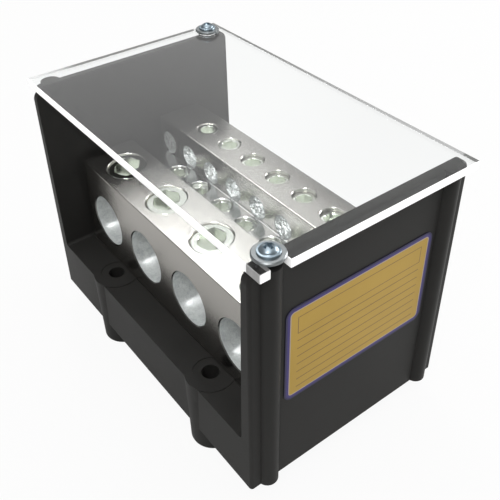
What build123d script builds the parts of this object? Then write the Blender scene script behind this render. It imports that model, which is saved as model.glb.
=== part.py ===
from build123d import *
import os

# Power distribution block: a black moulded base with two tall end walls carries one aluminium connector.
# Four main cables enter the connector from the front and twelve tap wires from the rear, in two rows.
# A set screw clamps each of them, and a clear flat cover lies on the walls under two screws.
# Millimetres. X runs along the row of main bores, Y from front to rear and Z up.
# The origin lies under the middle of the block, on the plane of its feet.

# Depth that a drill goes beyond the tip of its screw, and the margin for picking edges at a level
extra_drill_depth = 1.5
pick_margin = 0.1

# Base moulding
front_ledge_depth = 13.3
rear_ledge_depth = 20.3
foot_height = 11.0
skirt_height = 23.5
wall_rise = 76.3
wall_top_thickness = 3.6
wall_foot_thickness = 5.2
wall_corner_radius = 4.0
wall_root_fillet = 1.6
outer_corner_radius = 1.2
seat_rise = 0.5
floor_thickness = 5.0
skirt_thickness = 4.0
rib_thickness = 3.0
pocket_corner_radius = 2.0
notch_width = 8.0
notch_depth = 3.0

# Mounting bosses, which run from the ledge down to the feet
mount_pitch_x = 70.8
mount_inset_y = 8.7
mount_hole_radius = 3.4
boss_top_radius = 9.8
boss_foot_radius = 9.0
boss_foot_chamfer = 0.8
boss_rise = 0.3
spot_face_radius = 6.8
spot_face_depth = 0.3

# Half-round columns on the outer faces of the end walls
column_radius = 4.0
column_centre_inset = 1.2
column_root_depth = 3.0
column_inset_y = 8.1

# Connector, one extrusion with its bores drilled across it
connector_end_margin = 15.9
connector_end_gap = 3.6
front_block_depth = 24.2
front_block_height = 41.3
trough_width = 14.8
trough_height = 32.5
rear_bar_depth = 20.4
rear_bar_height = 47.9
extrusion_edge_radius = 0.5
extrusion_root_radius = 0.8
bore_mouth_chamfer = 0.5
thread_mouth_chamfer = 0.2

main_count = 4
main_pitch = 31.05
main_bore_radius = 11.2
main_bore_height = 18.65
main_bore_depth = 24.5
main_screw_radius = 8.4
main_screw_length = 11.0
main_screw_recess = 0.3
main_socket_flats = 10.3
main_socket_depth = 6.0

tap_count = 6
tap_pitch = 15.86
tap_bore_radius = 5.0
upper_tap_height = 37.5
lower_tap_height = 22.1
lower_tap_depth = 32.2
lower_screw_inset = 6.2
tap_screw_radius = 4.7
tap_screw_length = 5.0
upper_screw_recesses = (0.4, 0.5, 1.4, 1.6, 1.8, 1.6)
lower_screw_recesses = (0.5, 2.0, 0.5, 0.6, 0.5, 0.6)
tap_socket_flats = 6.0
tap_socket_depth = 3.2

screw_top_chamfer = 0.4
screw_tip_chamfer = 0.9
screw_thread_clearance = 0.06
socket_lead_in = 0.3

# Clear cover and its two screws
cover_thickness = 3.3
cover_overhang_x = 4.35
cover_inset_y = 0.7
cover_slot_width = 7.2
cover_screw_radius = 1.6
cover_screw_length = 16.0
cover_screw_clearance = 0.05
cover_head_radius = 2.75
cover_head_height = 2.5
cover_head_rim = 1.1
cover_flange_radius = 3.6
cover_flange_height = 0.8
shank_tip_chamfer = 0.9
cross_recess_width = 1.1
cross_recess_span = 4.0
cross_recess_floor = 1.6
cross_recess_depth = 1.3
cover_washer_radius = 5.25
cover_washer_thickness = 1.0
cover_washer_clearance = 0.15
cover_washer_edge = 0.3

# Screws under the floor that hold the connector down
hold_screw_radius = 2.4
hold_screw_engagement = 9.0
hold_screw_clearance = 0.05
hold_hole_clearance = 0.3
hold_head_radius = 4.6
hold_head_height = 3.2
hold_head_rim = 0.7
hold_washer_radius = 5.0
hold_washer_thickness = 1.2
hold_boss_radius = 8.0
hold_pocket_clearance = 0.5

# Label, stuck to the outer face of the right-hand end wall
label_column_gap = 1.7
label_height = 41.5
label_lift = 37.0
label_thickness = 0.3
label_corner_radius = 3.4

# Lengths that follow from the bores and the walls
connector_length = (main_count - 1) * main_pitch + 2 * connector_end_margin
connector_depth = front_block_depth + trough_width + rear_bar_depth
base_length = connector_length + 2 * (connector_end_gap + wall_foot_thickness)
base_depth = front_ledge_depth + connector_depth + rear_ledge_depth
label_width = base_depth - 2 * (column_inset_y + column_radius + label_column_gap)

# Levels and faces that the pieces share
half_length = base_length / 2
half_depth = base_depth / 2
skirt_z = foot_height
ledge_z = skirt_z + skirt_height
seat_z = ledge_z + seat_rise
boss_top_z = ledge_z + boss_rise
wall_top_z = ledge_z + wall_rise
cover_top_z = wall_top_z + cover_thickness
pocket_roof_z = ledge_z - floor_thickness
front_face_y = -half_depth + front_ledge_depth
trough_front_y = front_face_y + front_block_depth
trough_rear_y = trough_front_y + trough_width
rear_face_y = trough_rear_y + rear_bar_depth
main_screw_y = front_face_y + front_block_depth / 2
upper_screw_y = trough_rear_y + rear_bar_depth / 2
lower_screw_y = trough_rear_y - lower_screw_inset
mount_x = mount_pitch_x / 2
mount_y = half_depth - mount_inset_y
column_x = half_length - column_centre_inset
column_y = half_depth - column_inset_y
cover_screw_places = {"front": (column_x, -column_y), "rear": (-column_x, column_y)}


def row(count, pitch):
    """Places along X of a row of equal pitch, centred on the block."""
    return [(i - (count - 1) / 2) * pitch for i in range(count)]


def upright(radius, low, high, x=0.0, y=0.0):
    """A round bar along Z between two levels."""
    return Pos(x, y, (low + high) / 2) * Cylinder(radius, high - low)


def along_y(radius, front, rear, x, z):
    """A round bar along Y between two faces."""
    return Pos(x, (front + rear) / 2, z) * Rot(90, 0, 0) * Cylinder(radius, rear - front)


def countersink(radius, depth, level, x, y):
    """The cone that breaks the edge of an upright hole whose mouth is at a level."""
    return Pos(x, y, level - depth / 2) * Cone(radius, radius + depth, depth)


def hexagon_socket(flats, depth, level, x, y):
    """A hexagon socket that opens upwards at a level, with a small lead-in at its mouth."""
    hexagon = RegularPolygon(flats / 2, 6, major_radius=False)
    socket = Pos(x, y, level - depth) * extrude(hexagon, depth)
    return socket + countersink(flats / 2, socket_lead_in, level, x, y)


def wall_section():
    """Floor and both end walls, seen from the front: the walls thin towards their tops."""
    foot_x = half_length - wall_foot_thickness
    top_x = half_length - wall_top_thickness
    outline = Polyline(
        (-half_length, skirt_z),
        (half_length, skirt_z),
        (half_length, wall_top_z),
        (top_x, wall_top_z),
        (foot_x, ledge_z),
        (-foot_x, ledge_z),
        (-top_x, wall_top_z),
        (-half_length, wall_top_z),
        close=True,
    )
    section = make_face(Plane.XZ * outline)
    roots = section.vertices().filter_by_position(Axis.Z, ledge_z - pick_margin, ledge_z + pick_margin)
    return fillet(roots, wall_root_fillet)


def wall_profile():
    """The end walls and the skirt seen from the end, with the rounded corners at the top."""
    height = wall_top_z - skirt_z
    outline = Plane.YZ * Pos(0, skirt_z + height / 2) * Rectangle(base_depth, height)
    corners = outline.vertices().sort_by(Axis.Z)[-2:]
    return fillet(corners, wall_corner_radius)


def base_shell():
    """Walls, ledge and skirt as one solid, before anything is added to it or cut from it."""
    walls = extrude(wall_section(), base_depth / 2, both=True)
    shell = walls & extrude(wall_profile(), half_length, both=True)
    uprights = shell.edges().filter_by(Axis.Z)
    outer = [e for e in uprights if abs(abs(e.center().X) - half_length) < pick_margin]
    return fillet(outer, outer_corner_radius)


def mounting_boss(x, y):
    """A tapered boss from just above the ledge down to its foot."""
    boss = Pos(x, y, boss_top_z / 2) * Cone(boss_foot_radius, boss_top_radius, boss_top_z)
    foot_edge = boss.edges().sort_by(Axis.Z)[0]
    return chamfer(foot_edge, boss_foot_chamfer)


def column(side_x, side_y):
    """A half-round column that stands out from the outer face of an end wall."""
    bar = upright(column_radius, skirt_z, wall_top_z, side_x * column_x, side_y * column_y)
    kept_width = column_root_depth + column_radius
    kept_x = half_length - column_root_depth + kept_width / 2
    kept = Pos(side_x * kept_x, side_y * column_y, (skirt_z + wall_top_z) / 2) * Box(
        kept_width, 2 * column_radius, wall_top_z - skirt_z
    )
    return bar & kept


def pockets():
    """The hollow cells under the floor, between the skirt and the ribs."""
    outer = half_length - wall_foot_thickness
    rib = rib_thickness / 2
    spans = ((-outer, -mount_x - rib), (-mount_x + rib, mount_x - rib), (mount_x + rib, outer))
    cells = []
    for low_x, high_x in spans:
        for side in (-1, 1):
            far_y = half_depth - skirt_thickness
            sketch = Rectangle(high_x - low_x, far_y - rib)
            sketch = fillet(sketch.vertices(), pocket_corner_radius)
            centre = Pos((low_x + high_x) / 2, side * (rib + far_y) / 2, skirt_z)
            cells.append(centre * extrude(sketch, pocket_roof_z - skirt_z))
    return cells


def base_moulding():
    """Black base: floor, skirt, end walls, columns, seat for the connector, mounting bosses and ribs."""
    base = base_shell()
    seat_length = base_length - 2 * wall_foot_thickness
    base -= pockets()
    base += Pos(0, (front_face_y + rear_face_y) / 2, ledge_z + seat_rise / 2) * Box(
        seat_length, connector_depth, seat_rise
    )
    for x in (-mount_x, mount_x):
        base += [mounting_boss(x, y) for y in (-mount_y, mount_y)]
        base += upright(hold_boss_radius, skirt_z, ledge_z, x)
    for side_x in (-1, 1):
        base += [column(side_x, side_y) for side_y in (-1, 1)]

    base -= Pos(0, front_face_y + notch_depth / 2, ledge_z + seat_rise / 2) * Box(
        notch_width, notch_depth, seat_rise
    )
    for x in (-mount_x, mount_x):
        for y in (-mount_y, mount_y):
            base -= upright(mount_hole_radius, 0, boss_top_z, x, y)
            base -= upright(spot_face_radius, boss_top_z - spot_face_depth, boss_top_z, x, y)
        base -= upright(hold_screw_radius + hold_hole_clearance, pocket_roof_z, seat_z, x)
        base -= upright(hold_washer_radius + hold_pocket_clearance, skirt_z, pocket_roof_z, x)
    pilot_low = cover_top_z + cover_washer_thickness - cover_screw_length - extra_drill_depth
    for x, y in cover_screw_places.values():
        base -= upright(cover_screw_radius + cover_screw_clearance, pilot_low, wall_top_z, x, y)
    return base


def connector_section():
    """The connector's stepped section, seen from its end."""
    outline = Polyline(
        (front_face_y, seat_z),
        (rear_face_y, seat_z),
        (rear_face_y, seat_z + rear_bar_height),
        (trough_rear_y, seat_z + rear_bar_height),
        (trough_rear_y, seat_z + trough_height),
        (trough_front_y, seat_z + trough_height),
        (trough_front_y, seat_z + front_block_height),
        (front_face_y, seat_z + front_block_height),
        close=True,
    )
    section = make_face(Plane.YZ * outline)
    floor_z = seat_z + trough_height
    roots = section.vertices().filter_by_position(Axis.Z, floor_z - pick_margin, floor_z + pick_margin)
    section = fillet(roots, extrusion_root_radius)
    tops = section.vertices().sort_by(Axis.Z)[-4:]
    return fillet(tops, extrusion_edge_radius)


def main_bores():
    """The four cable bores in the front face, and the threaded holes that cross them."""
    hole = main_screw_radius + screw_thread_clearance
    top_z = seat_z + front_block_height
    bore_z = seat_z + main_bore_height
    cuts = []
    for x in row(main_count, main_pitch):
        cuts.append(along_y(main_bore_radius, front_face_y, front_face_y + main_bore_depth, x, bore_z))
        mouth = Cone(main_bore_radius + bore_mouth_chamfer, main_bore_radius, bore_mouth_chamfer)
        cuts.append(Pos(x, front_face_y + bore_mouth_chamfer / 2, bore_z) * Rot(-90, 0, 0) * mouth)
        cuts.append(upright(hole, bore_z, top_z, x, main_screw_y))
        cuts.append(countersink(hole, thread_mouth_chamfer, top_z, x, main_screw_y))
    return cuts


def tap_bores():
    """The two rows of wire bores in the rear face, and the threaded holes that cross them."""
    hole = tap_screw_radius + screw_thread_clearance
    rows = (
        (trough_rear_y, upper_tap_height, upper_screw_y, seat_z + rear_bar_height),
        (rear_face_y - lower_tap_depth, lower_tap_height, lower_screw_y, seat_z + trough_height),
    )
    cuts = []
    for x in row(tap_count, tap_pitch):
        for end_y, height, screw_y, top_z in rows:
            bore_z = seat_z + height
            cuts.append(along_y(tap_bore_radius, end_y, rear_face_y, x, bore_z))
            mouth = Cone(tap_bore_radius, tap_bore_radius + bore_mouth_chamfer, bore_mouth_chamfer)
            cuts.append(Pos(x, rear_face_y - bore_mouth_chamfer / 2, bore_z) * Rot(-90, 0, 0) * mouth)
            cuts.append(upright(hole, bore_z, top_z, x, screw_y))
            cuts.append(countersink(hole, thread_mouth_chamfer, top_z, x, screw_y))
    return cuts


def connector_block():
    """The aluminium connector: a stepped extrusion with all its bores."""
    block = extrude(connector_section(), connector_length / 2, both=True)
    block -= main_bores() + tap_bores()
    for x in (-mount_x, mount_x):
        hole = hold_screw_radius + hold_screw_clearance
        block -= upright(hole, seat_z, seat_z + hold_screw_engagement + extra_drill_depth, x)
    return block


def set_screw(radius, length, flats, depth, top_z, x, y):
    """A headless set screw with a hexagon socket and a turned tip."""
    screw = upright(radius, top_z - length, top_z, x, y)
    screw = chamfer(screw.edges().sort_by(Axis.Z)[-1], screw_top_chamfer)
    screw = chamfer(screw.edges().sort_by(Axis.Z)[0], screw_tip_chamfer)
    return screw - hexagon_socket(flats, depth, top_z, x, y)


def main_set_screw(x):
    """One of the large screws, nearly flush with the top of the front block."""
    top_z = seat_z + front_block_height - main_screw_recess
    size = (main_screw_radius, main_screw_length, main_socket_flats, main_socket_depth)
    return set_screw(*size, top_z, x, main_screw_y)


def tap_set_screw(x, y, top_z):
    """One of the small screws, with its top at a level."""
    size = (tap_screw_radius, tap_screw_length, tap_socket_flats, tap_socket_depth)
    return set_screw(*size, top_z, x, y)


def cover_slot(side):
    """The slot that runs in from one end of the cover to the screw at that end."""
    reach = half_length + cover_overhang_x
    length = reach - column_x
    y = -side * column_y
    middle = Pos(side * (column_x + length / 2), y, (wall_top_z + cover_top_z) / 2)
    open_part = middle * Box(length, cover_slot_width, cover_thickness)
    return open_part + upright(cover_slot_width / 2, wall_top_z, cover_top_z, side * column_x, y)


def clear_cover():
    """The flat clear cover, with a slot at two corners on a diagonal."""
    length = base_length + 2 * cover_overhang_x
    sheet = Pos(0, 0, (wall_top_z + cover_top_z) / 2) * Box(
        length, base_depth - 2 * cover_inset_y, cover_thickness
    )
    return sheet - [cover_slot(1), cover_slot(-1)]


def cross_recess(level):
    """A tapered cross recess that opens upwards at a level."""
    outline = Polyline(
        (-cross_recess_span / 2, level),
        (cross_recess_span / 2, level),
        (cross_recess_floor / 2, level - cross_recess_depth),
        (-cross_recess_floor / 2, level - cross_recess_depth),
        close=True,
    )
    blade = extrude(make_face(Plane.XZ * outline), cross_recess_width / 2, both=True)
    return blade + Rot(0, 0, 90) * blade


def pan_head(radius, height, rim, level):
    """A domed pan head that stands on a level."""
    rise = height - rim
    dome_radius = (radius**2 + rise**2) / (2 * rise)
    dome = Pos(0, 0, level + height - dome_radius) * Sphere(dome_radius)
    return upright(radius, level, level + height) & dome


def cover_screw():
    """A cover screw on the Z axis, with its flanged head on its washer."""
    seat = cover_top_z + cover_washer_thickness
    head = pan_head(cover_head_radius, cover_head_height, cover_head_rim, seat)
    head += upright(cover_flange_radius, seat, seat + cover_flange_height)
    shank = upright(cover_screw_radius, seat - cover_screw_length, seat)
    shank = chamfer(shank.edges().sort_by(Axis.Z)[0], shank_tip_chamfer)
    return head + shank - cross_recess(seat + cover_head_height)


def cover_washer():
    """The flat washer under a cover screw's head."""
    top = cover_top_z + cover_washer_thickness
    washer = upright(cover_washer_radius, cover_top_z, top)
    washer = chamfer(washer.edges().sort_by(Axis.Z)[-1], cover_washer_edge)
    return washer - upright(cover_screw_radius + cover_washer_clearance, cover_top_z, top)


def hold_down_screw():
    """A screw on the Z axis that comes up through the floor into the connector."""
    seat = pocket_roof_z - hold_washer_thickness
    head = mirror(pan_head(hold_head_radius, hold_head_height, hold_head_rim, -seat), Plane.XY)
    shank = upright(hold_screw_radius, seat, seat_z + hold_screw_engagement)
    shank = chamfer(shank.edges().sort_by(Axis.Z)[-1], shank_tip_chamfer)
    recess = mirror(cross_recess(hold_head_height - seat), Plane.XY)
    return head + shank - recess


def hold_down_washer():
    """The washer between a hold-down screw's head and the floor."""
    low = pocket_roof_z - hold_washer_thickness
    washer = upright(hold_washer_radius, low, pocket_roof_z)
    return washer - upright(hold_screw_radius + cover_washer_clearance, low, pocket_roof_z)


def label():
    """The printed label's sheet on the outer face of the right-hand end wall."""
    sketch = Rectangle(label_width, label_height)
    sketch = fillet(sketch.vertices(), label_corner_radius)
    centre_z = skirt_z + label_lift + label_height / 2
    face = Plane(origin=(half_length, 0, centre_z), x_dir=(0, 1, 0), z_dir=(1, 0, 0))
    return extrude(face * sketch, label_thickness)


def all_pieces():
    """Every piece of the block by name."""
    pieces = {
        "base_moulding": base_moulding(),
        "connector_block": connector_block(),
        "clear_cover": clear_cover(),
        "label_sheet": label(),
    }
    for i, x in enumerate(row(main_count, main_pitch), 1):
        pieces[f"main_set_screw_{i}"] = main_set_screw(x)
    for i, x in enumerate(row(tap_count, tap_pitch)):
        upper_z = seat_z + rear_bar_height - upper_screw_recesses[i]
        lower_z = seat_z + trough_height - lower_screw_recesses[i]
        pieces[f"upper_tap_screw_{i + 1}"] = tap_set_screw(x, upper_screw_y, upper_z)
        pieces[f"lower_tap_screw_{i + 1}"] = tap_set_screw(x, lower_screw_y, lower_z)
    for name, (x, y) in cover_screw_places.items():
        pieces[f"cover_screw_{name}"] = Pos(x, y, 0) * cover_screw()
        pieces[f"cover_washer_{name}"] = Pos(x, y, 0) * cover_washer()
    for name, x in {"left": -mount_x, "right": mount_x}.items():
        pieces[f"hold_down_screw_{name}"] = Pos(x, 0, 0) * hold_down_screw()
        pieces[f"hold_down_washer_{name}"] = Pos(x, 0, 0) * hold_down_washer()
    return pieces


os.makedirs("parts", exist_ok=True)
for name, piece in all_pieces().items():
    export_step(piece, f"parts/{name}.step")
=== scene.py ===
# %% [markdown]
# # A power distribution block
# The object is a black moulded base with two tall end walls. Between them sits a bright aluminium
# connector, and a clear flat cover lies on top under two small screws. Its solids come ready made at
# their real size. They could be drawn again as meshes, but two models of one thing drift apart. So this
# lesson keeps the solids and adds what a lens would see: finishes, threads and light.

# %% Load the solids
import math

import bmesh
import bpy
from mathutils import Matrix, Vector


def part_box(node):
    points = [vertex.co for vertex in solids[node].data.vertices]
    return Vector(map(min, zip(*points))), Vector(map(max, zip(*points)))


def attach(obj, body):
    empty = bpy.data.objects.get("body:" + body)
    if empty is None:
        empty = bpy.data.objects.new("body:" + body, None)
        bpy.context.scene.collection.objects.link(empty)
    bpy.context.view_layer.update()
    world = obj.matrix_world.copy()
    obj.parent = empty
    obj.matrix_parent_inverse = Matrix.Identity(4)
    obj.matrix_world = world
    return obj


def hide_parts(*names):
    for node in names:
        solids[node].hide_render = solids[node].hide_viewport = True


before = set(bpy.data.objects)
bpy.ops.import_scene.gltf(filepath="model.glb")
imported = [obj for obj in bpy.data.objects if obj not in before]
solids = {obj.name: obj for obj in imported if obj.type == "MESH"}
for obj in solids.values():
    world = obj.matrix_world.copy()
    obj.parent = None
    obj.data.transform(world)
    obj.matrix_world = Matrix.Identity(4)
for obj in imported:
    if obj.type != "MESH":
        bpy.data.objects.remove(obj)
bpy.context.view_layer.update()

# %% [markdown]
# ## The camera
# The photograph looks down on the near right corner. A camera could be placed by eye, but then no edge
# would line up. This one was found by matching corners of the object with the same corners in the
# picture, which gives a place, three angles, a lens, and a small shift because the picture was cropped.
# A camera in Blender looks along its own minus Z, so two turns and a roll about that axis aim it.

# %% Place the camera
AZIMUTH, ELEVATION, ROLL = (math.radians(angle) for angle in (53.47, 35.85, -1.06))
CAMERA_PLACE = (0.19114, -0.13610, 0.24387)

lens = bpy.data.cameras.new("photo_lens")
lens.sensor_width = 36.0
lens.lens = 52.65
lens.shift_x = 0.0114
lens.shift_y = -0.0928
lens.clip_start = 0.01

camera = bpy.data.objects.new("photo_camera", lens)
aim = Matrix.Rotation(AZIMUTH, 4, "Z") @ Matrix.Rotation(math.pi / 2 - ELEVATION, 4, "X")
aim = aim @ Matrix.Rotation(ROLL, 4, "Z")
camera.matrix_world = Matrix.Translation(CAMERA_PLACE) @ aim
bpy.context.scene.collection.objects.link(camera)
bpy.context.scene.camera = camera
print("camera looks along", [round(v, 4) for v in camera.matrix_world.to_3x3() @ Vector((0, 0, -1))])

# %% [markdown]
# ## Writing finishes as sums
# A finish is a tree of nodes. It could be drawn by hand in the shader editor, where the idea soon hides
# behind wires. Here a small class wraps one output socket and gives it plus, minus, times and the rest,
# so a mask reads like arithmetic.

# %% A class for sockets
class Wire:
    """One output of a node, ready for sums."""

    def __init__(self, nodes, socket):
        self.nodes = nodes
        self.socket = socket

    def maths(self, operation, *values):
        return self.nodes.node("Math", {"operation": operation}, dict(enumerate(values)))

    def __add__(self, other):
        return self.maths("ADD", self, other)

    __radd__ = __add__

    def __sub__(self, other):
        return self.maths("SUBTRACT", self, other)

    def __rsub__(self, other):
        return self.maths("SUBTRACT", other, self)

    def __neg__(self):
        return 0.0 - self

    def __mul__(self, other):
        return self.maths("MULTIPLY", self, other)

    __rmul__ = __mul__

    def __truediv__(self, other):
        return self.maths("DIVIDE", self, other)

    def __rtruediv__(self, other):
        return self.maths("DIVIDE", other, self)

    def __pow__(self, other):
        return self.maths("POWER", self, other)

    def __rpow__(self, other):
        return self.maths("POWER", other, self)

    def size(self):
        return self.maths("ABSOLUTE", self)

    def least(self, other):
        return self.maths("MINIMUM", self, other)

    def most(self, other):
        return self.maths("MAXIMUM", self, other)

    def sine(self):
        return self.maths("SINE", self)

    def fraction(self):
        return self.maths("FRACT", self)

    def step(self, low, high):
        """0 below low, 1 above high, and a smooth rise between them."""
        settings = {"interpolation_type": "SMOOTHSTEP"}
        return self.nodes.node("MapRange", settings, {"Value": self, "From Min": low, "From Max": high})

    def within(self, low, high, soft=0.1):
        """1 between low and high, and 0 a little outside them."""
        return self.step(low - soft, low) * (1.0 - self.step(high, high + soft))


print("sockets can be added, multiplied and compared")

# %% [markdown]
# ## One method for every node
# Each node could be made with its own few lines, and a finish would then be mostly such lines. So one
# method makes them all. It takes the kind of node, then its settings, because some of them change which
# sockets a node has, and last the values or wires of its sockets.

# %% A class for trees of nodes
class Nodes:
    """A tree of nodes, and the method that adds to it."""

    def __init__(self, tree):
        self.tree = tree

    def node(self, kind, settings=None, sockets=None, output=0):
        made = self.tree.nodes.new("ShaderNode" + kind)
        for key, value in (settings or {}).items():
            setattr(made, key, value)
        for key, value in (sockets or {}).items():
            self.feed(made.inputs[key], value)
        return Wire(self, made.outputs[output])

    def feed(self, socket, value):
        """Links a wire to a socket, or sets a value. A colour may come without its alpha."""
        if isinstance(value, Wire):
            self.tree.links.new(value.socket, socket)
        elif socket.type == "RGBA" and len(value) == 3:
            socket.default_value = (*value, 1.0)
        else:
            socket.default_value = value

    def split(self, vector):
        """The X, Y and Z parts of a vector."""
        parts = self.node("SeparateXYZ", {}, {0: vector})
        return [Wire(self, part) for part in parts.socket.node.outputs]

    def blend(self, factor, first, second):
        """One colour where factor is 0 and another where it is 1."""
        return self.node("Mix", {"data_type": "RGBA"}, {0: factor, 6: first, 7: second}, output=2)


print("trees of nodes can be written line by line")

# %% A class for finishes
class Finish(Nodes):
    """A material with one Principled shader. What is the same all over sits on the shader itself."""

    def __init__(self, name, **constants):
        self.material = bpy.data.materials.new(name)
        self.material.use_nodes = True
        super().__init__(self.material.node_tree)
        self.surface = self.tree.nodes["Principled BSDF"]
        self.drive(**constants)

    def drive(self, **values):
        """Feeds sockets of the Principled shader, named with low lines for spaces."""
        for socket, value in values.items():
            self.feed(self.surface.inputs[socket.replace("_", " ")], value)

    def overlay(self, factor, shader):
        """Shows another shader where factor is 1."""
        mixed = self.node("MixShader", {}, {0: factor, 1: Wire(self, self.surface.outputs[0]), 2: shader})
        self.feed(self.tree.nodes["Material Output"].inputs["Surface"], mixed)


def dress(finish, *pieces):
    """Gives a finish to pieces, or to solids by name."""
    for piece in pieces:
        mesh = solids[piece].data if isinstance(piece, str) else piece.data
        mesh.materials.clear()
        mesh.materials.append(finish.material)


print("finishes can be made and given to solids")

# %% [markdown]
# ## The floor
# The photograph has a pure white ground. Stronger lamps would make it white, but they would burn the
# aluminium out as well. So the floor is an ordinary pale floor, mixed with a plain glow for the rays
# that come from the camera, from a mirror or through clear plastic. The glow stops a little short of
# the whole, which keeps a soft shadow under the object.

# %% The floor
FLOOR_REACH = 4.0
GLOW_SHARES = {"Is Camera Ray": 0.93, "Is Glossy Ray": 0.2, "Is Transmission Ray": 0.8}

floor = Finish("white_floor", Base_Color=(0.52, 0.52, 0.51), Roughness=0.9)
glowing = sum(floor.node("LightPath", output=ray) * share for ray, share in GLOW_SHARES.items())
glow = floor.node("Emission", {}, {"Color": (1.0, 1.0, 1.0), "Strength": 1.0})
floor.overlay(glowing.least(1.0), glow)

floor_mesh = bpy.data.meshes.new("floor")
floor_corners = [(x * FLOOR_REACH, y * FLOOR_REACH, 0) for x, y in ((-1, -1), (1, -1), (1, 1), (-1, 1))]
floor_mesh.from_pydata(floor_corners, [], [(0, 1, 2, 3)])
floor_mesh.materials.append(floor.material)
floor_object = bpy.data.objects.new("floor", floor_mesh)
bpy.context.scene.collection.objects.link(floor_object)
print("floor is", 2 * FLOOR_REACH, "m wide")

# %% [markdown]
# ## The sky round the studio
# Polished metal shows the room as much as itself. The room could be built with walls and screens, but a
# world that changes with direction does the same without a mesh: dim all round, brighter beyond the
# object on the far left, and brightest overhead, like a white ceiling. The camera itself, and whatever
# looks through the cover, sees plain white.

# %% The sky
ROOM = 0.28
SCREEN = 0.68
CEILING = 2.2
SCREEN_WAY = (-0.882, 0.356, 0.309)

world = bpy.data.worlds.new("studio")
world.use_nodes = True
bpy.context.scene.world = world
sky = Nodes(world.node_tree)
way = sky.node("TexCoord", output="Generated")
screen = sky.node("VectorMath", {"operation": "DOT_PRODUCT"}, {0: way, 1: SCREEN_WAY}, output="Value")
_, _, height = sky.split(way)
level = ROOM + (SCREEN - ROOM) * screen.step(0.88, 0.965) + (CEILING - ROOM) * height.step(0.68, 1.0)
clear_view = sky.node("LightPath", output="Is Camera Ray")
clear_view = clear_view.most(sky.node("LightPath", output="Is Transmission Ray"))
backdrop = world.node_tree.nodes["Background"]
sky.feed(backdrop.inputs["Color"], (1.0, 1.0, 1.0))
sky.feed(backdrop.inputs["Strength"], level + (1.0 - level) * clear_view)
print("sky gives", ROOM, "of white all round,", SCREEN, "beyond the object and", CEILING, "overhead")

# %% [markdown]
# ## The lamps
# A dull object would need one lamp. Metal shows the lamps themselves, so each is a rectangle, as a
# softbox is, and hangs where something should mirror it. The key hangs behind on the left, for the top
# faces of the connector. The front one hangs over the near corner, for the bores and the screws. The
# rear one stands low behind, for edges. Brightness is given as what a mirror would show of the lamp,
# because that is what the eye compares with white.

# %% The lamps
LAMPS_LOOK_AT = Vector((0, 0, 0.06))


def softbox(name, way, distance, width, height, brightness):
    """A rectangular lamp that looks at the object from a way."""
    lamp = bpy.data.lights.new(name, "AREA")
    lamp.shape = "RECTANGLE"
    lamp.size = width
    lamp.size_y = height
    lamp.energy = brightness * width * height * math.pi
    holder = bpy.data.objects.new(name, lamp)
    towards = Vector(way).normalized()
    holder.location = LAMPS_LOOK_AT + towards * distance
    holder.rotation_euler = towards.to_track_quat("Z", "Y").to_euler()
    bpy.context.scene.collection.objects.link(holder)


softbox("key_softbox", (-0.553, 0.215, 0.805), 1.1, 0.36, 0.36, 7.5)
softbox("front_softbox", (0.39, -0.47, 0.79), 1.2, 0.35, 0.35, 15.0)
softbox("rear_softbox", (0.2, 0.95, 0.25), 1.0, 0.5, 0.4, 12.0)
print("three softboxes hang round the object")

# %% [markdown]
# ## Grain
# No real surface is even, so each finish starts from noise. A painted texture would need its own layout
# on every piece. Noise that is worked out from the place on the part needs none, and it looks the same
# on every run. Stretched along one axis it turns into lines, and fed to a bump it becomes a texture.

# %% Noise and bumps
def grain(finish, scale, stretch=(1, 1, 1), detail=3.0, roughness=0.5):
    """Noise from 0 to 1, with about scale lumps per metre, drawn out along an axis by a small stretch."""
    spot = finish.node("TexCoord", output="Object")
    spot = finish.node("Mapping", {}, {"Vector": spot, "Scale": stretch})
    sockets = {"Vector": spot, "Scale": scale, "Detail": detail, "Roughness": roughness}
    return finish.node("TexNoise", {}, sockets)


def bump(finish, height, strength, distance, **normal):
    """A surface that leans as if it had a height, on top of an earlier Normal if one is given."""
    return finish.node("Bump", {}, {"Height": height, "Strength": strength, "Distance": distance, **normal})


print("grain and bumps are ready")

# %% [markdown]
# ## Black moulded plastic
# The base is moulded in one piece. Its skin has a very fine texture from the mould, a slow waviness
# where the walls shrank over their ribs, and a faint bloom. A plain black would look like a hole, because
# most of what is seen is the soft reflection of the room. So the colour stays nearly black, and the
# roughness and the bump carry the look.

# %% The moulding's finish
moulding = Finish("black_moulding", Specular_IOR_Level=0.15)
skin = grain(moulding, 5200.0, detail=2.0)
cloud = grain(moulding, 38.0, detail=4.0, roughness=0.6)
flow = grain(moulding, 60.0, stretch=(0.35, 1.0, 1.0), detail=2.0)
moulding.drive(
    Base_Color=moulding.blend(cloud, (0.0150, 0.0146, 0.0138), (0.0242, 0.0234, 0.0220)),
    Roughness=0.38 + 0.14 * cloud + 0.05 * skin,
    Normal=bump(moulding, skin + 0.6 * flow, 0.16, 0.00006),
)
dress(moulding, "base_moulding")
print("the base has its skin")

# %% [markdown]
# ## Aluminium, face by face
# The connector is one extrusion with bores drilled across it, then plated. Its long faces carry fine
# lines along X, and the bores are rougher and cooler. The faces could be given separate materials by
# hand. A mask from the place on the part does it without touching the mesh: a row of bores repeats at
# an even pitch, so the distance from the nearest axis is one sum for the whole row.

# %% Place and facing
def place(finish):
    """X, Y and Z on the part, in millimetres."""
    return [metres * 1000.0 for metres in finish.split(finish.node("TexCoord", output="Object"))]


def facing(finish):
    """The X, Y and Z parts of the direction that the surface faces."""
    return finish.split(finish.node("TexCoord", output="Normal"))


def box_mm(node):
    """The lowest and highest corner of a solid, in millimetres."""
    return [[metres * 1000.0 for metres in corner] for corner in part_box(node)]


spans = [round(high - low, 1) for low, high in zip(*box_mm("connector_block"))]
print("the connector measures", spans, "mm along X, Y and Z")

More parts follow.
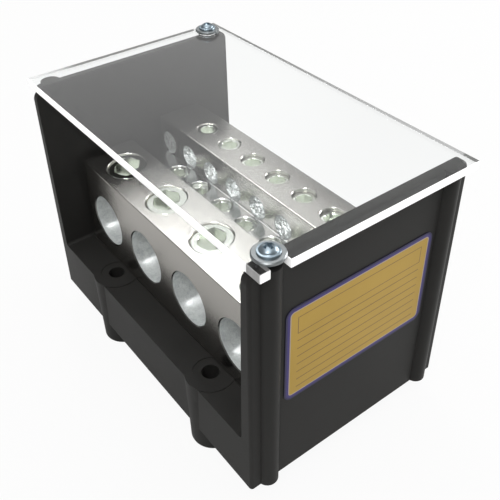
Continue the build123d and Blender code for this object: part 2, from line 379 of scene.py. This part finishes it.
# %% Where the drilled bores are
MAIN_BORES = {"pitch": 31.05, "count": 4, "height": 53.65, "radius": 11.2, "low_y": -40.0, "high_y": -8.0}
UPPER_TAPS = {"pitch": 15.86, "count": 6, "height": 72.5, "radius": 5.0, "low_y": 5.0, "high_y": 30.0}
LOWER_TAPS = {"pitch": 15.86, "count": 6, "height": 57.1, "radius": 5.0, "low_y": -6.8, "high_y": 30.0}
BLUR = (0.02, 0.1)


def near_bore(spot, row, margin=0.0):
    """1 on the wall and floor of a row of bores, and on a margin round them, 0 elsewhere."""
    x, y, z = spot
    shifted = x + (row["count"] % 2 == 0) * row["pitch"] / 2
    across = ((shifted / row["pitch"] + 0.5).fraction() - 0.5) * row["pitch"]
    up = z - row["height"]
    away = (across * across + up * up) ** 0.5
    edge = row["radius"] + margin
    return (1.0 - away.step(edge + BLUR[0], edge + BLUR[1])) * y.within(row["low_y"], row["high_y"])


print(sum(row["count"] for row in (MAIN_BORES, UPPER_TAPS, LOWER_TAPS)), "bores in three rows")

# %% Masks on the connector
BLOCK_DEPTH = 24.2
TROUGH_WIDTH = 14.8
FACE_REACH = 8.2
BAR_FRONT = BLOCK_DEPTH + TROUGH_WIDTH

metal = Finish("extruded_aluminium")
spot = place(metal)
(_, front_y, _), (_, _, top_z) = box_mm("connector_block")
depth = spot[1] - front_y
_, facing_y, _ = facing(metal)

drilled = near_bore(spot, MAIN_BORES).most(near_bore(spot, UPPER_TAPS)).most(near_bore(spot, LOWER_TAPS))
small = drilled * depth.step(BLOCK_DEPTH + 1.0, BLOCK_DEPTH + 2.0)
large = drilled - small
plain = 1.0 - drilled
front = (-facing_y).step(0.5, 0.9) * plain * (1.0 - depth.step(FACE_REACH, FACE_REACH + 1.0))
trough = depth.step(BLOCK_DEPTH - 0.3, BLOCK_DEPTH) * (1.0 - depth.step(BAR_FRONT - 0.2, BAR_FRONT + 0.1))
trough = trough * (1.0 - spot[2].step(top_z - 2.9, top_z - 0.6))
slanted = 1.0 - (-facing_y - math.cos(math.radians(45))).size().step(0.08, 0.18)
rim = near_bore(spot, MAIN_BORES, margin=0.6) * slanted
print("masks tell bores, front, trough and rims apart")

# %% [markdown]
# ## Colour of the metal
# One grey would do for a single face under a single light. Here the front face gets a darker grey, as
# painted shade for the dimmer reflection it shows. The trough gets a near white, as painted light for the
# light that bounces in it. The chamfers at the mouths of the main bores get a dark grey, as painted shade.
# The bores are speckled like plated metal, from flat cells and a finer frost.

# %% The connector's colours
tone = grain(metal, 45.0, detail=3.0)
frost = grain(metal, 1500.0, detail=3.0, roughness=0.7)
on_part = metal.node("TexCoord", output="Object")
flakes = metal.node("TexVoronoi", {}, {"Vector": on_part, "Scale": 620.0}, output="Color")
spangle, _, _ = metal.split(flakes)

top = metal.blend(tone, (0.56, 0.545, 0.52), (0.62, 0.605, 0.58))
# painted shade: the front face gets a darker grey; painted light: the trough gets a near white
sides = metal.blend(front, metal.blend(trough, top, (0.93, 0.93, 0.92)), (0.44, 0.425, 0.40))
# painted shade: the chamfers at the mouths of the main bores get a dark grey
sides = metal.blend(rim, sides, (0.16, 0.16, 0.155))
speckle = 0.45 * spangle + 0.55 * frost.step(0.3, 0.75)
speckled = metal.blend(speckle, (0.62, 0.655, 0.65), (0.96, 0.98, 0.975))
print("colours are mixed for faces, rims and bores")

# %% [markdown]
# ## Marks of the tools
# Extruding draws fine lines along the faces, and a boring tool leaves rings that it feeds along the
# bore. Rings could be modelled, at a great many faces. A sine along the bore's axis gives the same
# broken highlight as a bump, and it fades towards the mouth. The small bores show a coarse, crystal-like
# wall. The bump of the bores has a strength of 1 because a weaker one would flatten the rings again.

# %% The connector's finish
RING_FEED = 0.2
RING_HEIGHT = 0.021
lines = grain(metal, 9000.0, stretch=(0.012, 1.0, 1.0), detail=3.0)
crystals = grain(metal, 700.0, detail=2.0, roughness=0.6)
rings = ((spot[1] + 0.5 * tone) * (2 * math.pi / RING_FEED)).sine()
rings = rings * RING_HEIGHT * (0.45 + 0.55 * depth.step(0.6, 6.7))
drawn = bump(metal, lines * plain, 0.22, 0.00004)
metal.drive(
    Base_Color=metal.blend(drilled, sides, speckled),
    Metallic=1.0 - 0.5 * drilled + 0.2 * small,
    Roughness=(0.2 + 0.08 * lines - 0.08 * trough) * plain + (0.20 + 0.08 * frost) * large + 0.16 * small,
    Normal=bump(metal, (rings + 0.02 * frost) * large + 2.0 * crystals * small, 1.0, 0.001, Normal=drawn),
)
dress(metal, "connector_block")
print("the connector is plated")

# %% [markdown]
# ## Screws, ring by ring
# A set screw is a headless screw: thread all the way, a hexagon socket in its top and a bevelled tip.
# A boolean cut would give long thin faces that shade badly. Everything on such a screw, seen from
# above, is one closed line round its axis: a circle, a hexagon or a cross. So each screw is a stack of
# rings with the same number of points, and a ring only says how far out and how high each point is.

# %% A stack of rings
SMOOTH_UNDER = math.radians(28)


def stack_rings(name, angles, rings):
    """A closed mesh through rings, each a list of (radius, height) in millimetres, one for each angle."""
    build = bmesh.new()
    loops = []
    for ring in rings:
        loops.append([
            build.verts.new((radius * math.cos(a) / 1000, radius * math.sin(a) / 1000, height / 1000))
            for a, (radius, height) in zip(angles, ring)
        ])
    count = len(angles)
    for lower, upper in zip(loops, loops[1:]):
        for i in range(count):
            j = (i + 1) % count
            build.faces.new((lower[i], lower[j], upper[j], upper[i]))
    for loop, ring in ((loops[0], rings[0]), (loops[-1], rings[-1])):
        middle = build.verts.new((0, 0, sum(height for _, height in ring) / count / 1000))
        for i in range(count):
            build.faces.new((loop[i], loop[(i + 1) % count], middle))
    bmesh.ops.recalc_face_normals(build, faces=build.faces)
    mesh = bpy.data.meshes.new(name)
    build.to_mesh(mesh)
    build.free()
    mesh.shade_smooth()
    mesh.set_sharp_from_angle(angle=SMOOTH_UNDER)
    return mesh


def circle(angles, radius, height):
    """One round ring."""
    return [(radius, height)] * len(angles)


print("rings can be stacked into a mesh")

# %% [markdown]
# ## A thread
# A thread is a groove that climbs as it goes round. Sweeping a tooth along a helix gives it too, but its
# ends then have to be joined to the shank. In a stack of rings the groove is only a depth that depends on
# the height and the angle, and the bevel at each end is a limit on the radius.

# %% A thread
RINGS_PER_TURN = 8
CREST_SHARE, FLANK_SHARE = 0.12, 0.72


def thread_rings(angles, radius, depth, pitch, low, high, low_bevel, high_bevel):
    """Rings of a helical thread between two heights, cut back by a bevel at each end."""
    steps = round((high - low) / pitch * RINGS_PER_TURN)
    rings = []
    for i in range(steps + 1):
        height = low + (high - low) * i / steps
        limit = radius - max(0.0, low_bevel - (height - low), high_bevel - (high - height))
        ring = []
        for angle in angles:
            phase = (height / pitch - angle / (2 * math.pi)) % 1.0
            groove = min(1.0, max(0.0, (abs(2 * phase - 1) - CREST_SHARE) / FLANK_SHARE))
            ring.append((min(limit, radius - depth * groove), height))
        rings.append(ring)
    return rings


print("a coarse thread of 2 mm pitch takes", len(thread_rings([0], 8, 1, 2, 0, 11, 0, 0)), "rings")

# %% [markdown]
# ## A hexagon socket
# The socket has six flat walls, a flat floor, and a small cone at its mouth that guides the key. In polar
# form a hexagon is one formula, so the same 72 angles serve for the thread outside and the walls inside,
# and the two join without a seam.

# %% A hexagon socket
EVEN = [2 * math.pi * i / 72 for i in range(72)]
FLOOR_MIDDLE = 0.4


def hexagon(angle, flats):
    """How far a hexagon's outline is from its middle, at an angle."""
    return flats / 2 / math.cos((angle + math.pi / 6) % (math.pi / 3) - math.pi / 6)


def socket_rings(flats, depth, lead_in, top):
    """Rings from the mouth of a hexagon socket down its walls to its flat floor."""
    walls = [hexagon(angle, flats) for angle in EVEN]
    mouth = [(max(wall, flats / 2 + lead_in), top) for wall in walls]
    throat = [(wall, top - (out - wall)) for wall, (out, _) in zip(walls, mouth)]
    foot = [(wall, top - depth) for wall in walls]
    return [mouth, throat, foot, circle(EVEN, FLOOR_MIDDLE, top - depth)]


print("the corners of a 10.3 mm hexagon are", round(2 * hexagon(math.pi / 6, 10.3), 2), "mm apart")

# %% [markdown]
# ## The sixteen set screws
# Each screw stands where its solid stands, rides on the same body, and replaces that solid. Its size is
# read from the solid's box, so the two can't differ. Real screws stop wherever they were turned to, so
# each gets its own small turn. Perfectly even sockets would all glint alike.

# %% The set screws
SET_SCREWS = {
    "main_set_screw": {"count": 4, "body": "main_screw", "flats": 10.3, "depth": 6.0, "pitch": 2.0},
    "upper_tap_screw": {"count": 6, "body": "upper_tap", "flats": 6.0, "depth": 3.2, "pitch": 1.25},
    "lower_tap_screw": {"count": 6, "body": "lower_tap", "flats": 6.0, "depth": 3.2, "pitch": 1.25},
}
THREAD_DEPTH = 0.55
TIP_BEVEL, TOP_BEVEL, LEAD_IN = 0.9, 0.3, 0.3
MIDDLE_TURN, TURN_SPREAD = -6, 10


def stand(mesh, node, body):
    """Puts a mesh where a solid stands, in its place and on its body."""
    low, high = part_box(node)
    piece = bpy.data.objects.new("threaded_" + node, mesh)
    piece.location = ((low[0] + high[0]) / 2, (low[1] + high[1]) / 2, low[2])
    bpy.context.scene.collection.objects.link(piece)
    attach(piece, body)
    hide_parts(node)
    return piece


set_screws = []
for name, kind in SET_SCREWS.items():
    low, high = box_mm(name + "_1")
    radius = (high[0] - low[0]) / 2
    length = high[2] - low[2]
    pitch = kind["pitch"]
    thread = thread_rings(EVEN, radius, THREAD_DEPTH * pitch, pitch, 0.0, length, TIP_BEVEL, TOP_BEVEL)
    mesh = stack_rings(name, EVEN, thread + socket_rings(kind["flats"], kind["depth"], LEAD_IN, length))
    for i in range(1, kind["count"] + 1):
        screw = stand(mesh, f"{name}_{i}", f"{kind['body']}_{i}")
        screw.rotation_euler.z = math.radians(TURN_SPREAD * math.sin(2.4 * i + kind["flats"]) + MIDDLE_TURN)
        set_screws.append(screw)
print(len(set_screws), "set screws stand in the connector")

# %% [markdown]
# ## Plating on the set screws
# These screws are plated aluminium, a little greener and brighter than the connector, and smooth from
# turning. They could share the connector's finish, but then they would vanish in it. A slow mottle moves
# both colour and roughness, which is what sets a plated part apart from a painted one.

# %% The set screws' finish
screw_metal = Finish("set_screw_plating", Metallic=1.0)
mottle = grain(screw_metal, 700.0, detail=3.0)
screw_metal.drive(
    Base_Color=screw_metal.blend(mottle, (0.80, 0.84, 0.77), (0.92, 0.94, 0.89)),
    Roughness=0.09 + 0.08 * mottle,
    Normal=bump(screw_metal, grain(screw_metal, 2600.0), 0.14, 0.00003),
)
dress(screw_metal, *set_screws)
print("set screws are plated")

# %% [markdown]
# ## The cover screws
# Each has a domed head with a flange and a cross recess, on a thin threaded shank. The same rings make
# it: circles up to the flange, then rings that change step by step from a circle into the cross, each at
# the height of the dome. The angles crowd where the cross has its corners, to keep those crisp.

# %% A cross and a dome
CROSS_PARTS = (0, 6, 11, 15.4, 19, 25, 34, 45, 56, 65, 71, 74.6, 79, 84)
CROSSED = [math.radians(90 * quarter + part) for quarter in range(4) for part in CROSS_PARTS]


def cross(angle, span, width):
    """How far a cross's outline is from its middle, at an angle."""
    turn = (angle + math.pi / 4) % (math.pi / 2) - math.pi / 4
    end = span / 2 / math.cos(turn)
    return end if end * math.sin(abs(turn)) <= width / 2 else width / 2 / math.sin(abs(turn))


def dome(radius, top, bend):
    """The height of a domed head at a radius."""
    return top - bend + math.sqrt(bend ** 2 - radius ** 2)


print("a ring of the cover screws has", len(CROSSED), "points")

# %% The cover screws' shape
SHANK_RADIUS, SHANK_LENGTH, SHANK_PITCH, GROOVE_DEPTH = 1.6, 15.4, 0.8, 0.36
FLANGE = ((1.6, 15.6), (1.6, 16.0), (3.6, 16.0), (3.6, 16.5), (3.45, 16.75), (2.95, 16.8), (2.77, 16.95))
DOME_FOOT, DOME_TOP, DOME_BEND = 2.75, 18.5, 3.4
RECESS_MOUTH, RECESS_FLOOR, RECESS_FLOOR_HEIGHT = (3.2, 1.1), (1.7, 0.85), 17.2
RECESS_STEPS = (0.03, 0.15, 0.35, 0.55, 0.8, 1.0)

head = thread_rings(CROSSED, SHANK_RADIUS, GROOVE_DEPTH, SHANK_PITCH, 0.0, SHANK_LENGTH, TIP_BEVEL, 0.0)
head += [circle(CROSSED, radius, height) for radius, height in FLANGE]
for step in RECESS_STEPS:
    ring = [DOME_FOOT + step * (cross(angle, *RECESS_MOUTH) - DOME_FOOT) for angle in CROSSED]
    head.append([(radius, dome(radius, DOME_TOP, DOME_BEND)) for radius in ring])
head.append([(cross(angle, *RECESS_FLOOR), RECESS_FLOOR_HEIGHT) for angle in CROSSED])
cover_screws = []
for end in ("front", "rear"):
    mesh = stack_rings("cover_screw", CROSSED, head)
    cover_screws.append(stand(mesh, "cover_screw_" + end, "cover_fastener_" + end))
print(len(cover_screws), "cover screws of", len(mesh.polygons), "faces")

# %% [markdown]
# ## Zinc on the small steel parts
# Screws and washers are steel with a thin coat of zinc, blue on the screws and grey on the washers. A
# coat shader would add a clear layer, but zinc isn't clear. It is a metal whose colour clouds from one
# tone to another, so one function makes both, and only the two tones differ.

# %% Zinc
def zinc(name, dark, light):
    """Zinc plating that clouds from a dark tone to a light one."""
    plating = Finish(name, Metallic=1.0)
    stain = grain(plating, 420.0, detail=3.0)
    plating.drive(
        Base_Color=plating.blend(stain, dark, light),
        Roughness=0.34 + 0.1 * stain,
        Normal=bump(plating, grain(plating, 3000.0), 0.12, 0.00003),
    )
    return plating


blue_zinc = zinc("blue_zinc", (0.20, 0.255, 0.295), (0.33, 0.39, 0.43))
grey_zinc = zinc("grey_zinc", (0.19, 0.205, 0.21), (0.29, 0.305, 0.31))
dress(blue_zinc, *cover_screws, "hold_down_screw_left", "hold_down_screw_right")
dress(grey_zinc, "cover_washer_front", "cover_washer_rear", "hold_down_washer_left", "hold_down_washer_right")
print("screws are blue, washers grey")

# %% [markdown]
# ## The shape of the clear cover
# The cover is a flat sheet that was sawn to size. A perfectly sharp edge catches no light, so each edge
# gets a bevel of under a fifth of a millimetre. The solid itself stays as it is: a copy is bevelled and
# replaces it. Its underside is lifted by a hair, because clear plastic that touches the walls exactly
# would show them as if it were glued on, and a real sheet has air under it.

# %% The cover's shape
SHARP = math.radians(40)
EDGE_BEVEL = 0.00018
AIR_GAP = 0.00003
SAME_LEVEL = 0.00001

shape = bmesh.new()
shape.from_mesh(solids["clear_cover"].data)
bmesh.ops.remove_doubles(shape, verts=shape.verts, dist=1e-6)
bmesh.ops.dissolve_limit(shape, angle_limit=math.radians(1), verts=shape.verts, edges=shape.edges)
sharp = [edge for edge in shape.edges if edge.is_manifold and edge.calc_face_angle() > SHARP]
bmesh.ops.bevel(shape, geom=sharp, offset=EDGE_BEVEL, segments=1, affect="EDGES", clamp_overlap=True)
underside = min(corner.co.z for corner in shape.verts)
for corner in shape.verts:
    if corner.co.z < underside + SAME_LEVEL:
        corner.co.z += AIR_GAP
sheet_mesh = bpy.data.meshes.new("bevelled_cover")
shape.to_mesh(sheet_mesh)
shape.free()
sheet = bpy.data.objects.new("bevelled_cover", sheet_mesh)
bpy.context.scene.collection.objects.link(sheet)
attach(sheet, "cover")
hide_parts("clear_cover")
print("the cover has", len(sheet_mesh.polygons), "faces after", len(sharp), "edges were bevelled")

# %% [markdown]
# ## The edges of the cover
# Light that enters a clear sheet runs along inside it and leaves at the edges, which is why they glow
# white. Tracing that light would take thousands of bounces, so the edges get the frosted white of a sawn
# face, and on top a painted glow, which is painted light. Beside the two slots they get a duller grey and
# less glow, as painted shade for the black column that lies right behind. The far edges, seen through the
# sheet from inside, get a dark grey as painted shade, and a painted glow that grows from left to right.
# Such a face is seen from its back, so its direction comes out reversed, and the mask looks for that.

# %% Masks on the cover
BY_SLOT_X, BY_SLOT_Y = (69.6, 80.0, 0.5), (38.0, 50.0)

clear = Finish("clear_sheet", Roughness=0.0, IOR=1.49, Transmission_Weight=1.0)
clear.drive(Base_Color=(0.985, 0.995, 0.99))
x, y, _ = place(clear)
facing_x, facing_y, facing_z = facing(clear)
(low_x, _, _), (_, high_y, _) = box_mm("clear_cover")

edge = 1.0 - facing_z.size().step(0.75, 0.9)
sides = 1.0 - facing_x.size().step(0.5, 0.9)
slotted = (-(x * y)).step(0.0, 100.0)
# painted shade: the edges beside the slots get a duller grey and less glow, for the black column behind
by_slot = x.size().within(*BY_SLOT_X) * y.size().within(*BY_SLOT_Y) * slotted * sides
rear_line = y.step(high_y - 1.0, high_y - 0.5) * (-facing_y).step(0.5, 0.9)
left_line = (1.0 - x.step(low_x + 0.5, low_x + 1.0)) * facing_x.step(0.5, 0.9)
far_lines = rear_line.most(left_line * y.step(-38.0, -20.0))
dim = by_slot.most(far_lines)
print("the cover's edges are told from its faces")

# %% The cover's finish
def grey(level):
    """A grey of one level."""
    return (level, level, level)


marks = grain(clear, 900.0, stretch=(1.0, 1.0, 0.1))
# painted light: the far edges' glow grows from left to right and drops at the right end
painted_glow_fade = x.step(-60.0, 60.0) * (1.0 - x.step(68.5, 69.5))
white = clear.blend(marks, grey(0.88), grey(0.97))
# painted shade: a duller grey beside the slots, and a dark grey on the far edges seen from inside
dull = clear.blend(far_lines, clear.blend(marks, grey(0.22), grey(0.42)), grey(0.04))
painted_line_glow = clear.blend(painted_glow_fade, (0.20, 0.20, 0.195), grey(0.50))
# painted light: a white and a glow on the edges, in place of light led along the sheet
sawn_edge_and_glow = clear.node("BsdfPrincipled", {}, {
    "Base Color": clear.blend(dim, white, dull),
    "Roughness": 0.35,
    "Emission Color": clear.blend(far_lines, clear.blend(dim, grey(0.3), grey(0.015)), painted_line_glow),
    "Emission Strength": 1.0,
})
clear.overlay(edge, sawn_edge_and_glow)
dress(clear, sheet)
print("the cover is clear, with bright edges")

# %% [markdown]
# ## The label
# The label is a gold metallic film with a violet border, glued to the end wall. Ink could be a painted
# image, but the fields are plain shapes, so sums on the place give them sharp edges at any size: one
# empty box, a few ruled lines, and a border that follows the rounded corners.

# %% The label's fields
CORNER = 3.4
BORDER = 1.7
SOFT_EDGE = 0.05
FIELD_INSET, INK_WIDTH, ROW_PITCH = 5.0, 0.25, 3.6
BOX_FOOT, BOX_TOP, ROWS_FOOT, ROWS_TOP = 0.42, 0.76, -0.79, 0.3
FIRST_ROW, LINE_SHARE = -0.78, 0.07

film = Finish("gold_film", Metallic=0.55)
_, y, z = place(film)
(_, low_y, low_z), (_, high_y, high_z) = box_mm("label_sheet")
half_y, half_z = (high_y - low_y) / 2, (high_z - low_z) / 2
across, up = y - (low_y + high_y) / 2, z - (low_z + high_z) / 2


def box_field(inset):
    """A box in the upper part of the label, drawn in from its outline by an inset."""
    wide = across.size().within(0.0, half_y - FIELD_INSET - inset, SOFT_EDGE)
    return wide * up.within(half_z * BOX_FOOT + inset, half_z * BOX_TOP - inset, SOFT_EDGE)


box_line = box_field(0.0) - box_field(INK_WIDTH)
rows = ((up - half_z * FIRST_ROW) / ROW_PITCH).fraction().within(0.0, LINE_SHARE, 0.02)
rows = rows * up.within(half_z * ROWS_FOOT, half_z * ROWS_TOP, SOFT_EDGE)
ink = box_line.most(rows * across.size().within(0.0, half_y - FIELD_INSET, SOFT_EDGE))
print("the label is", round(2 * half_y, 1), "by", round(2 * half_z, 1), "mm")

# %% The label's finish
inset_y = (across.size() - (half_y - CORNER)).most(0.0)
inset_z = (up.size() - (half_z - CORNER)).most(0.0)
rounded = (inset_y * inset_y + inset_z * inset_z) ** 0.5
border = rounded.step(CORNER - BORDER - 0.15, CORNER - BORDER)
hairline = rounded.within(CORNER - BORDER - 0.4, CORNER - BORDER - 0.15, SOFT_EDGE)
sheen = grain(film, 60.0, detail=3.0)

gold = film.blend(sheen, (0.44, 0.28, 0.045), (0.53, 0.345, 0.065))
gold = film.blend(ink, gold, (0.16, 0.095, 0.05))
gold = film.blend(hairline, gold, (0.44, 0.38, 0.36))
violet = film.blend(rounded.step(CORNER - 1.3, CORNER - 0.2), (0.056, 0.042, 0.19), (0.030, 0.026, 0.07))
film.drive(
    Base_Color=film.blend(border, gold, violet),
    Roughness=0.34 + 0.1 * sheen,
    Normal=bump(film, grain(film, 900.0, detail=2.0), 0.08, 0.00003),
)
dress(film, "label_sheet")
print("the label is gold with a violet border")

# %% [markdown]
# ## Last lines
# Blender's newer view transforms soften bright colours, which suits a film but not a product on white.
# Standard shows a colour as it is written.

# %% Finish
bpy.context.scene.view_settings.view_transform = "Standard"
